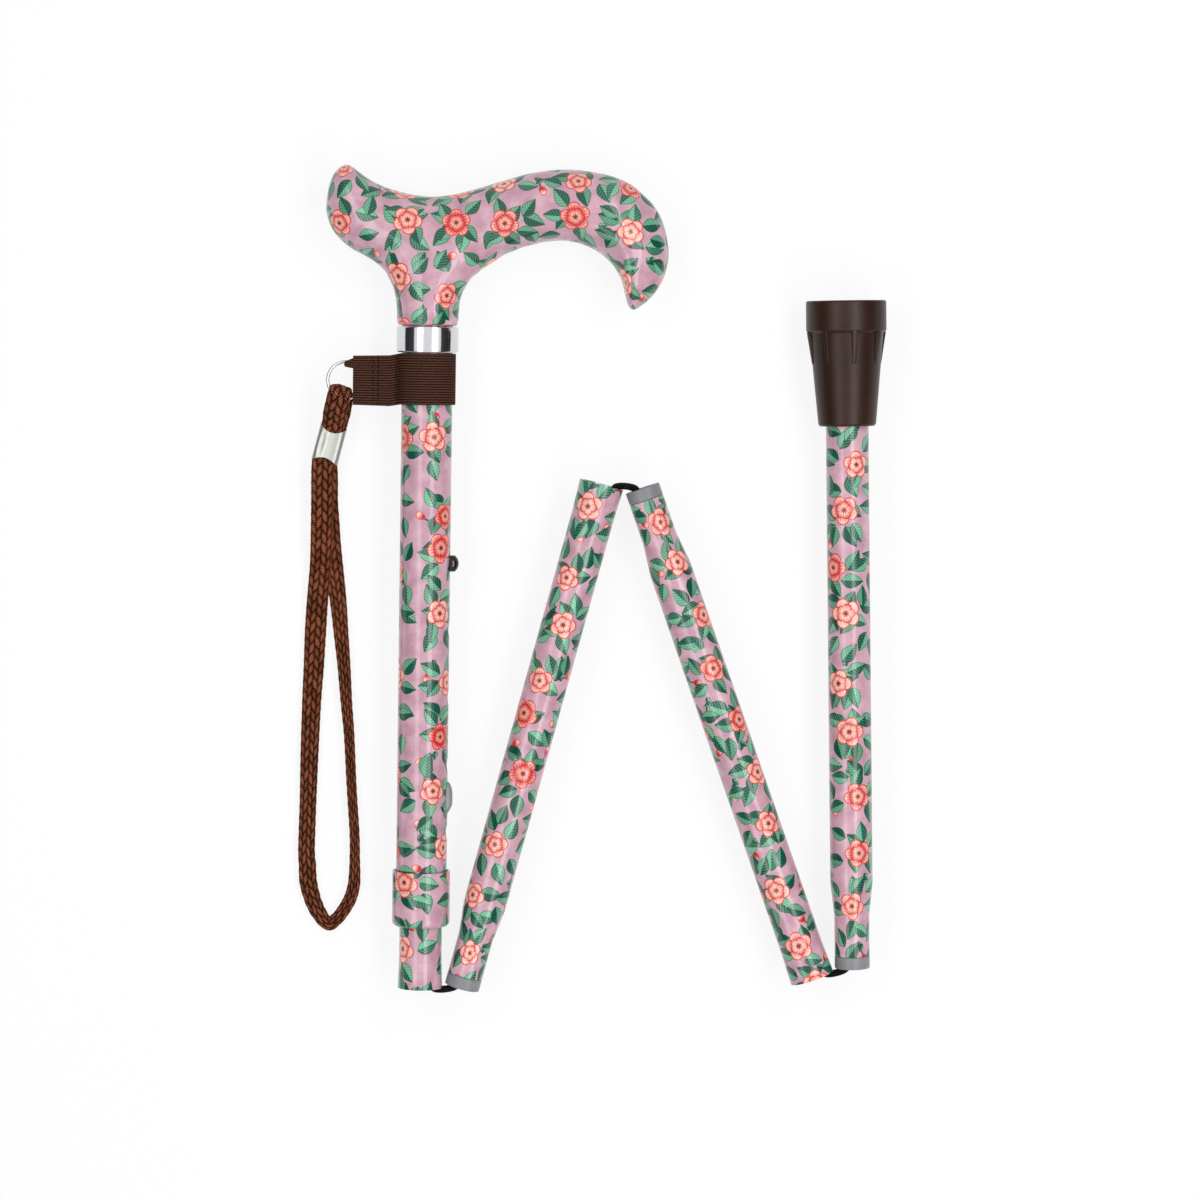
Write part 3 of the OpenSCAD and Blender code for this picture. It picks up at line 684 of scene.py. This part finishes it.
# The braid's way from the ring's middle and the ground, with its half width and half height
cord_route = (
    (-7.1, -23, 9.1, 4, 0.8), (-5.1, -17.5, 10.8, 4.2, 1.5), (-4.2, -12.5, 14.2, 4.3, 1.75),
    (-3.2, -8.8, 17.1, 4.3, 1.75), (-2.4, -5.6, 17.9, 4.3, 1.75), (-1.9, -3.5, 15.6, 4.2, 1.75),
    (-1.6, -4.6, 12.8, 4.1, 1.75), (-1.9, -7.8, 11.5, 4.1, 1.75), (-2.6, -12, 10.2, 4.1, 1.7),
    (-4.2, -17.5, 8.8, 4.1, 1.5), (-6, -24, 7.1, 4.1, 1.1), (-7.7, -31, 5.5, 4.2, 1.25),
    (-7.6, -38, 4, 4.2, 1.75), (-7.6, -46, 3, 4.2, 1.75), (-6.8, -54, 2.5, 4, 1.8),
    (-6, -62, 2.4, 3.8, 1.8), (-4.8, -71, 2.4, 3.6, 1.9), (-3, -83, 2.4, 3.1, 2),
    (-1.8, -95, 2.5, 2.75, 2.2), (-0.5, -108, 2.6, 2.4, 2.4), (0.6, -122, 2.8, 2.1, 2.6),
    (1.8, -135, 2.8, 1.9, 2.6), (2.9, -154, 2.8, 1.8, 2.6), (4.2, -172, 2.8, 1.8, 2.6),
    (4.4, -182, 2.8, 1.9, 2.5), (4.4, -187, 2.7, 2.1, 2.4), (4.1, -192, 2.6, 2.3, 2.3),
    (2.7, -197, 2.5, 2.4, 2.2), (0.2, -201.5, 2.4, 2.4, 2.2), (-2.6, -205, 2.4, 2.4, 2.2),
    (-5.3, -206.6, 2.4, 2.5, 2.2), (-7.9, -204.2, 2.4, 2.7, 2.2), (-10.4, -200, 2.4, 3, 2.1),
    (-12.2, -195, 2.4, 3.2, 2), (-13.3, -190, 2.4, 3.3, 2), (-13.6, -184, 2.4, 3.2, 2),
    (-14, -178, 2.4, 3.1, 2), (-13.6, -160, 2.4, 3.1, 2), (-13.2, -141, 2.4, 3.35, 2),
    (-12.6, -122, 2.4, 3.55, 1.9), (-11.9, -108, 2.4, 3.8, 1.9), (-11.4, -95, 2.5, 4, 1.8),
    (-10.7, -83, 3.1, 3.95, 1.8), (-9.6, -70, 4.5, 4, 1.75), (-9.2, -58, 5.8, 4.1, 1.75),
    (-9, -46, 6.7, 4.2, 1.75), (-9, -38, 7.5, 4.2, 1.7), (-8.8, -31, 7.9, 4.2, 1.25),
    (-7.6, -25.3, 8.8, 4, 0.9))


class CANE_OT_wrist_loop(bpy.types.Operator):
    """Braided wrist cord, its metal sleeve and the wire ring"""

    bl_idname = "cane.wrist_loop"
    bl_label = "Wrist loop"

    def execute(self, context):
        sizes, colours = context.scene.cane_sizes, context.scene.cane_colours
        origin = shaft @ Vector((ring_x, band_y, 0))
        place = Matrix.Translation((origin.x, origin.y, 0)) @ to_scene
        last = len(cord_route) - 1

        def girth(share):
            at = share * last
            k = min(int(at), last - 1)
            pairs = zip(cord_route[k][3:], cord_route[k + 1][3:])
            return [a + (b - a) * (at - k) for a, b in pairs]

        def plaits(along, around):
            column = around % 1.0 * sizes.columns
            index = math.floor(column)
            across = column - index - 0.5
            lean = index % 2 * 2 - 1
            row = along / sizes.plait + lean * across * 0.5 + index * 5 / sizes.columns
            return 0.45 * math.sin(row % 1.0 * math.pi) ** 0.7 * (1 - 2.6 * across * across) - 0.3

        route = [Vector(p[:3]) for p in cord_route]
        shape, path, length = cord_shape(route, Vector((1, 0, 0)), girth, 0.45,
                                         5 * sizes.columns, plaits, level=True)
        # The near-black is the braid's painted shade between its plaits.
        look = woven_cord("russet_braid", srgb(12, 2, 0), tuple(colours.braid),
                          sizes.columns, sizes.plait, 2.0)
        cord = finished("wrist_cord_braid", shape, place, look, "wrist_loop",
                        "wrist_cord", slot="russet_braid", corner=180)
        sleeve = self.sleeve(place)
        dress("strap_ring", metal("ring_wire", srgb(188, 190, 194), 0.14, 1.5))
        return {"FINISHED"}

    def sleeve(self, place):
        """A flattened tube with hollowed ends round both strands."""
        shape = bmesh.new()
        loops, squareness = [], 3.4
        wide, high, long = 5.0, 2.85, 7.2
        for grow, end in ((0, -1), (0, -0.5), (0, 0), (0, 0.5), (0, 1), (-0.55, 1), (-0.55, -1)):
            ring = bmesh.ops.create_circle(shape, cap_ends=False, radius=1.0, segments=48)["verts"]
            for vert in ring:
                c, s = vert.co.x, vert.co.y
                off = (abs(c) ** squareness + abs(s) ** squareness) ** (-1 / squareness)
                dent = 0.5 * max(0.0, 1.1 - abs(end)) * math.exp(-((c * off + 0.55) / 0.16) ** 2)
                hollow = 2.2 * (1 - (c * off) ** 2) if abs(end) == 1 else 0.7
                vert.co = (c * off * (wide + grow),
                           s * off * (high + grow) - (dent if s > 0 else -dent),
                           end * (long - hollow))
            loops.append(ring)
        for a, b in zip(loops, loops[1:] + loops[:1]):
            edges = [e for e in shape.edges
                     if any(all(v in ring for v in e.verts) for ring in (a, b))]
            bmesh.ops.bridge_loops(shape, edges=edges)
        turn = (place @ Matrix.Translation((-6.5, -24, 8.3))
                @ Matrix.Rotation(math.radians(-15), 4, "Z")
                @ Matrix.Rotation(math.radians(12 - 90), 4, "X"))
        look = metal("crimp_steel", srgb(168, 168, 164), 0.34, 0.8)
        return finished("crimp_sleeve", shape, turn, look, "wrist_loop", "cord_crimp",
                        slot="polished_chrome", corner=50)


class CANE_OT_handle(bpy.types.Operator):
    """Handle under its printed film, and the polished collar below it"""

    bl_idname = "cane.handle"
    bl_label = "Handle"

    def execute(self, context):
        rough = bpy.data.objects.new("rough", written("rough", copied("handle"), to_scene))
        context.scene.collection.objects.link(rough)
        remesh = rough.modifiers.new("film", "REMESH")
        remesh.mode, remesh.voxel_size = "VOXEL", 0.7 * mm
        smooth = rough.modifiers.new("even", "SMOOTH")
        smooth.factor, smooth.iterations = 0.5, 36
        even = rough.evaluated_get(context.evaluated_depsgraph_get())
        made = bpy.data.meshes.new_from_object(even)
        bpy.data.objects.remove(rough)
        shape = bmesh.new()
        shape.from_mesh(made)
        bpy.data.meshes.remove(made)
        film = shape.loops.layers.uv.new("film")
        back = shaft.inverted()
        wrap_r, back_shift = 12.0, 160
        for face in shape.faces:
            aside = 0 if face.normal.z >= 0 else back_shift
            for loop in face.loops:
                at = back @ loop.vert.co
                normal = loop.vert.normal
                flat = normal.xy
                lean = math.acos(min(1.0, abs(normal.z)))
                if flat.length > 1e-4:
                    flat = flat.normalized() * wrap_r * (lean - math.sin(lean))
                loop[film].uv = ((at.x + flat.x + aside) / map_unit, (at.y + flat.y) / map_unit)
        look, finish = material("handle_print")
        place = finish.own_map("film")
        _, _, z = finish.parts(finish.local(shaft))
        seam = abs(z).step(0.35, 0.1)
        print_colour = film_print(finish, place, (205.0, 391.0, 0.0))
        grain = finish.noise(place, 1.4, 4.0)
        wear = finish.noise(place, 0.1, 3.0)
        colour = finish.mix(seam * 0.3, print_colour, srgb(150, 108, 128))
        finish.surface(Base_Color=colour, Roughness=0.3 + grain * 0.08 + wear * 0.08,
                       Coat_Weight=0.7 - seam * 0.3, Coat_Roughness=0.06, Coat_IOR=1.5,
                       Specular_IOR_Level=0.1,
                       Normal=finish.bump(finish.noise(place, 0.25) * 0.02 - seam * 0.05, 1.0))
        finished("handle_film", shape, None, look, "upper", "handle",
                 slot="printed_grip", corner=70)

        low, top = stem_y - 9.7, stem_y - 0.1
        shape = spun([(9.55, low), (11.25, low), (11.6, low + 0.35),
                      (11.6, top - 0.35), (11.25, top), (9.55, top)])
        round_edges(shape, 0.16)
        finished("collar_ring", shape, shaft, metal("chrome", srgb(214, 216, 219), 0.05, 0.6),
                 "upper", "handle_collar", slot="polished_chrome")
        return {"FINISHED"}


class CANE_OT_tubes(bpy.types.Operator):
    """Printed film on the tubes and the locking collar"""

    bl_idname = "cane.tubes"
    bl_label = "Tubes"

    def execute(self, context):
        for node, place, radius, shift, *limits in (
                ("upper_tube", shaft, upper_r, (40, 12, 0), 8.85),
                ("height_tube", shaft, tube_r, (260, 75, 0), 7.45),
                ("locking_collar", shaft, 10.85, (620, 31, 0), 10.35, 25.9),
                ("second_tube", sections[1], tube_r, (930, 8, 0)),
                ("third_tube", sections[2], tube_r, (1310, 57, 0)),
                ("tip_tube", sections[3], tube_r, (1750, 23, 0))):
            dress(node, tube_finish(node + "_print", place, radius, shift, *limits))
        return {"FINISHED"}


class CANE_OT_guide_rings(bpy.types.Operator):
    """Grey guide rings in the swaged ends"""

    bl_idname = "cane.guide_rings"
    bl_label = "Guide rings"

    def execute(self, context):
        grey = tuple(context.scene.cane_colours.grey)
        look = moulded("grey_ring", grey, tinted(grey, 1.25), 0.38, shine=0.3, haze=0.2)
        outline = [(4.4, 0), (6.6, 0), (6.6, 4.7), (5.55, 4.7), (5.55, 9.6), (4.4, 9.6)]
        for place, name in zip(sections[1:], ("second", "third", "tip")):
            body, node = name + "_section", name + "_ring"
            shape = spun(outline)
            round_edges(shape, 0.45)
            finished(node + "_moulded", shape, place, look, body, node, slot="grey_plastic")
        return {"FINISHED"}


class CANE_OT_ferrule(bpy.types.Operator):
    """Rubber foot with ribs above its rim"""

    bl_idname = "cane.ferrule"
    bl_label = "Ferrule"

    def execute(self, context):
        length = section_l[3]
        mouth, rim = length - 46.8, length - 11.7
        shape = spun([(8.05, mouth), (10.2, mouth), (10.8, mouth + 0.8), (13.8, rim - 0.4),
                      (14.3, rim), (15, rim + 0.6), (15, length - 0.5), (14.5, length),
                      (0.02, length), (0.02, length - 7), (8.05, length - 7)])
        bmesh.ops.remove_doubles(shape, verts=shape.verts, dist=0.05)
        round_edges(shape, 0.25)
        ribs, rib_l, slope = 8, 11.8, 3.0 / 34.3
        foot, head, inside = rim + 0.6, rim - rib_l, 11.2
        outline = ((foot, 14.9, 1.1), (rim - 0.6, 14.85, 1.05), (head, 14.15 - rib_l * slope, 0.75),
                   (head, inside, 0.75), (foot, inside, 1.1))
        for k in range(ribs):
            rib = bmesh.new()
            for sign in (-1, 1):
                rib.faces.new([rib.verts.new((r, y, sign * w)) for y, r, w in outline])
            bmesh.ops.bridge_loops(rib, edges=list(rib.edges))
            bmesh.ops.recalc_face_normals(rib, faces=rib.faces)
            round_edges(rib, 0.22, segments=2)
            bmesh.ops.rotate(rib, cent=(0, 0, 0), verts=rib.verts,
                             matrix=Matrix.Rotation(math.tau * (k + 0.2) / ribs, 3, "Y"))
            part = written("rib", rib)
            shape.from_mesh(part)
            bpy.data.meshes.remove(part)
        rubber = tuple(context.scene.cane_colours.rubber)
        look = moulded("brown_rubber", tinted(rubber, 0.8), tinted(rubber, 1.25), 0.36,
                       1.6, 0.03, 0.22)
        finished("ferrule_rubber", shape, sections[3], look, "tip_section", "ferrule",
                 slot="brown_rubber")
        return {"FINISHED"}


class CANE_OT_strap(bpy.types.Operator):
    """Ribbed webbing round the upper tube, its doubled tail and its stitches"""

    bl_idname = "cane.strap"
    bl_label = "Strap"

    def execute(self, context):
        sizes, colours = context.scene.cane_sizes, context.scene.cane_colours
        half, wall = sizes.webbing / 2, sizes.webbing_wall
        ring_r, rib_h = 9.58 + wall / 2, 0.11
        tail = ((-27.6, 1.5), (-24.6, 1.55), (-21.6, 1.25), (-19.6, 0.78), (-17.4, 0.72),
                (-15.0, 0.85), (-12.6, 0.8), (-11.2, 0.95))
        turns = [math.radians(a) for a in range(168, -169, -6)]
        route = [Vector((x, 0, z)) for x, z in tail]
        route += [Vector((ring_r * math.cos(a), 0, ring_r * math.sin(a))) for a in turns]
        route += [Vector((x, 0, -z)) for x, z in reversed(tail)]
        stops, total = evenly(route, 260)
        rows, count = 4 * sizes.ribs, len(stops) - 1
        shape = bmesh.new()
        bmesh.ops.create_grid(shape, x_segments=count, y_segments=rows, size=1.0)
        lay_map(shape, "lay", lambda co: ((co.x + 1) / 2 * total, (co.y + 1) * half))
        for vert in shape.verts:
            k, across = round((vert.co.x + 1) / 2 * count), vert.co.y
            ahead = stops[min(k + 1, count)][0] - stops[max(k - 1, 0)][0]
            out = Vector((-ahead.z, 0, ahead.x)).normalized()
            rib = rib_h * abs(math.sin((across + 1) / 2 * sizes.ribs * math.pi)) ** 0.8
            edge = 0.12 * max(0.0, (abs(across) - 0.93) / 0.07)
            spot = stops[k][0]
            slack = 0.35 * clamped((-11 - spot.x) / 15)
            lift = 0.85 * clamped((spot.x + 14) / 5)
            y = band_y + lift + across * (half - slack)
            vert.co = spot + out * (wall / 2 - rib_h + rib - edge) + Vector((0, y, 0))
        bmesh.ops.recalc_face_normals(shape, faces=shape.faces)
        middle = Vector((0, band_y, 0))
        if sum(f.normal.dot(f.calc_center_median() - middle) for f in shape.faces) < 0:
            bmesh.ops.reverse_faces(shape, faces=shape.faces)
        bmesh.ops.solidify(shape, geom=list(shape.faces), thickness=wall - rib_h)
        look = self.webbing(tuple(colours.webbing), sizes.ribs / sizes.webbing)
        finished("strap_webbing", shape, shaft, look, "upper", "strap_band",
                 slot="brown_webbing", corner=60)
        self.ear(look, half)
        self.stitches(half)
        return {"FINISHED"}

    def webbing(self, colour, pitch):
        """Ribs along the webbing and cross threads over them, with painted shade in the grooves and
        painted highlight on the ribs' crests.
        """
        look, finish = material("ribbed_webbing")
        along, across, _ = finish.parts(finish.own_map("lay"))
        rib = abs((across * (pitch * math.pi)).sin()) ** 0.8
        cross = (along * 9.0 + (across * pitch).floor() * 2.1).sin() * 0.5 + 0.5
        flecks = finish.noise(finish.vector(along, across), 1.5, 4.0)
        # Painted shade and highlight: near black in the grooves between ribs and far paler on the
        # ribs' crests; the cross threads and flecks add the webbing's own weave and uneven tone.
        shade = rib * 0.6 + cross * 0.2 * rib + (flecks - 0.5) * 0.5
        tone = finish.mix(shade.step(0.1, 0.85), tinted(colour, 0.05), tinted(colour, 2.9))
        finish.surface(Base_Color=tone, Roughness=0.78 - flecks * 0.1, Specular_IOR_Level=0.03,
                       Normal=finish.bump(rib * 0.35 + cross * 0.14 + flecks * 0.1, 0.35))
        return look

    def ear(self, look, half):
        """The corner of the webbing that is drawn round the wire."""
        shape = bmesh.new()
        bmesh.ops.create_cube(shape, size=1.0)
        for vert in shape.verts:
            left = vert.co.x < 0
            x, top, low, thick = (-31, 6.9, 5, 1.55) if left else (-26.4, 8.8, 4.2, 2.05)
            y = band_y + (top if vert.co.y > 0 else low)
            vert.co = (x, y, thick if vert.co.z > 0 else -thick)
        bmesh.ops.subdivide_edges(shape, edges=shape.edges, cuts=2, use_grid_fill=True)
        round_edges(shape, 0.9, math.degrees(0.7), 4)
        lay_map(shape, "lay", lambda co: (co.x, co.y - band_y + half))
        finished("strap_fold", shape, shaft, look, "upper", slot="brown_webbing", corner=60)

    def stitches(self, half):
        """Two rows of thread through the tail and one beside the tube."""
        shape, count, margin = bmesh.new(), 11, 1.1
        for x, z in ((-20.2, 1.42), (-18.2, 1.35), (-11.3, 1.5)):
            for side in (1, -1):
                for k in range(count):
                    y = band_y - half + margin + k * (2 * half - 2 * margin) / (count - 1)
                    spot = Matrix.Translation((x + (0.12 if k % 2 else -0.12), y, side * z))
                    bmesh.ops.create_icosphere(shape, subdivisions=1, radius=1.0, matrix=(
                        spot @ Matrix.Diagonal((0.28, 0.72, 0.22, 1))))
        look = moulded("brown_thread", srgb(20, 10, 7), srgb(40, 24, 18), 0.7, 3.0, shine=0.05)
        finished("strap_stitches", shape, shaft, look, "upper", slot="brown_webbing")


class CANE_OT_shock_cord(bpy.types.Operator):
    """Elastic cord: its stretches in the tubes and its bends over the folds"""

    bl_idname = "cane.shock_cord"
    bl_label = "Shock cord"

    def execute(self, context):
        # Black elastic; its deepest black is also the painted shade between the plaits.
        look = woven_cord("elastic_weave", srgb(6, 6, 7), srgb(44, 43, 44), 10.0, 1.5, 1.1)
        half = shock_r - 0.05

        def girth(share):
            return half, half

        def pressed(share):
            squeeze = math.sin(math.pi * share) ** 0.5
            return half + 0.3 * squeeze, half - 0.45 * squeeze

        parents = {"upper": "height_tube", "middle": "second_section", "lower": "third_section"}
        for i, (fold, parent) in enumerate(parents.items()):
            node = "cord_bend_" + fold
            place = (Matrix.Translation(Vector(joints[fold + "_fold"]["pos_m"]))
                     @ Matrix.Rotation(math.radians(fold_turns[i]), 4, "Z")
                     @ Matrix.Rotation(math.pi if i == 1 else 0.0, 4, "X") @ to_scene)
            shape, path, _ = cord_shape(self.bend(i), up, pressed, 0.35, 24)
            piece = finished(node + "_weave", shape, place, look, None, node,
                             slot="elastic_cord", corner=180)
            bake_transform(piece)
        for node, body, place, ends in (
                ("shock_cord_second", "second_section", sections[1],
                 ((-ring_off, cord_start), (rim_off, section_l[1] - cord_start))),
                ("shock_cord_third", "third_section", sections[2],
                 ((ring_off, cord_start), (-rim_off, section_l[2] - cord_start))),
                ("shock_cord_top", "height_tube", shaft, self.anchored(rim_off, 96.0)),
                ("shock_cord_tip", "tip_section", sections[3],
                 self.anchored(-ring_off, section_l[3] - 70.8))):
            first, last = (Vector((x, y, 0)) for x, y in ends)
            route = [first + (last - first) * k / 8 for k in range(9)]
            shape, _, _ = cord_shape(route, up, girth, 1.5, 20)
            if node in ("shock_cord_top", "shock_cord_tip"):
                bmesh.ops.create_uvsphere(shape, u_segments=24, v_segments=16, radius=knot_r - 0.03,
                                          matrix=Matrix.Translation(route[-1]))
            finished(node + "_weave", shape, place, look, body, node,
                     slot="elastic_cord", corner=180)
        return {"FINISHED"}

    def anchored(self, off, reach):
        """The two ends of a stretch that is knotted behind its anchor."""
        end = reach + anchor_l + knot_r + 0.1
        return (off * (1 - cord_start / reach), cord_start), (off * (1 - end / reach), end)

    def bend(self, i):
        """The bend from a socket to a guide ring: x is towards the ring, y into the socket."""
        a = math.radians(fold_angles[i])
        first = Vector((rim_off - pivot_r, -fold_insets[i], 0))
        reach = fold_insets[i] + fold_gap
        into = Vector((math.sin(a), math.cos(a), 0))
        last = Vector((math.cos(a), -math.sin(a), 0)) * (pivot_r - ring_off) + into * reach
        bulge = 0.8 + abs(last.y - first.y) / 4
        turns = [math.pi * k / 14 for k in range(15)]
        arc = [first + (last - first) * (1 - math.cos(t)) / 2
               - Vector((0, bulge * math.sin(t), 0)) for t in turns]
        return [first + Vector((0, shock_r, 0))] + arc + [last + into * shock_r]


class CANE_OT_fittings(bpy.types.Operator):
    """Snap button, rest pad and the pieces inside"""

    bl_idname = "cane.fittings"
    bl_label = "Fittings"

    def execute(self, context):
        grey = tuple(context.scene.cane_colours.grey)
        shape = bmesh.new()
        bmesh.ops.create_uvsphere(shape, u_segments=40, v_segments=28, radius=1.0)
        for vert in shape.verts:
            x, y, z = (math.copysign(abs(c) ** 0.72, c) for c in vert.co)
            z *= 3.0
            rise = 3.2 * x - 1.9 * max(0.0, -0.3 - y) / 0.7
            x = max(8.2 + rise, math.sqrt(9.53 ** 2 - z * z))
            vert.co = (x, hole_y + hole_pitch / 2 + 6.95 * y, z)
        bmesh.ops.remove_doubles(shape, verts=shape.verts, dist=0.01)
        pad = moulded("grey_pad", tinted(grey, 1.1), tinted(grey, 1.5), 0.42)
        finished("rest_pad_moulded", shape, shaft, pad, "upper", "rest_pad", slot="grey_plastic")
        # The snap button and its leaf spring, copied whole from the CAD node and tied to no body
        button = finished("snap_button_spring", copied("snap_button"), to_scene,
                          metal("dark_steel", srgb(58, 54, 57), 0.09, 0.9), None, "snap_button",
                          slot="dark_steel")
        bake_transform(button)
        pale = moulded("pale_plastic", srgb(205, 205, 202), srgb(222, 222, 219), 0.5)
        dress("ferrule_washer", metal("zinc", srgb(186, 188, 190), 0.35, 1.2))
        dress("handle_post", moulded(
            "turned_beech", srgb(176, 134, 90), srgb(206, 168, 120), 0.55, 0.5, 0.05))
        for node in ("lock_sleeve", "cord_anchor_upper", "cord_anchor_lower"):
            dress(node, pale)
        return {"FINISHED"}


class CANE_PT_pieces(bpy.types.Panel):
    """The cane's pieces, sizes and colours"""

    bl_idname = "CANE_PT_pieces"
    bl_label = "Folding cane"
    bl_space_type = "VIEW_3D"
    bl_region_type = "UI"
    bl_category = "Cane"

    def draw(self, context):
        for group in (context.scene.cane_sizes, context.scene.cane_colours):
            column = self.layout.column()
            for name in group.bl_rna.properties.keys():
                if name not in ("rna_type", "name"):
                    column.prop(group, name)
        for operator in operators:
            self.layout.operator(operator.bl_idname)


operators = (CANE_OT_stage, CANE_OT_wrist_loop, CANE_OT_handle, CANE_OT_tubes, CANE_OT_guide_rings,
             CANE_OT_ferrule, CANE_OT_strap, CANE_OT_shock_cord, CANE_OT_fittings)
classes = (CaneSizes, CaneColours) + operators + (CANE_PT_pieces,)


def register():
    for cls in classes:
        bpy.utils.register_class(cls)
    bpy.types.Scene.cane_sizes = bpy.props.PointerProperty(type=CaneSizes)
    bpy.types.Scene.cane_colours = bpy.props.PointerProperty(type=CaneColours)


def unregister():
    del bpy.types.Scene.cane_colours
    del bpy.types.Scene.cane_sizes
    for cls in reversed(classes):
        bpy.utils.unregister_class(cls)


def main():
    register()
    scene = bpy.context.scene
    flower_print(scene.cane_sizes, scene.cane_colours)
    bpy.ops.cane.stage()
    bpy.ops.cane.wrist_loop()
    bpy.ops.cane.handle()
    bpy.ops.cane.tubes()
    bpy.ops.cane.guide_rings()
    bpy.ops.cane.ferrule()
    bpy.ops.cane.strap()
    bpy.ops.cane.shock_cord()
    bpy.ops.cane.fittings()


if __name__ == "__main__":
    main()
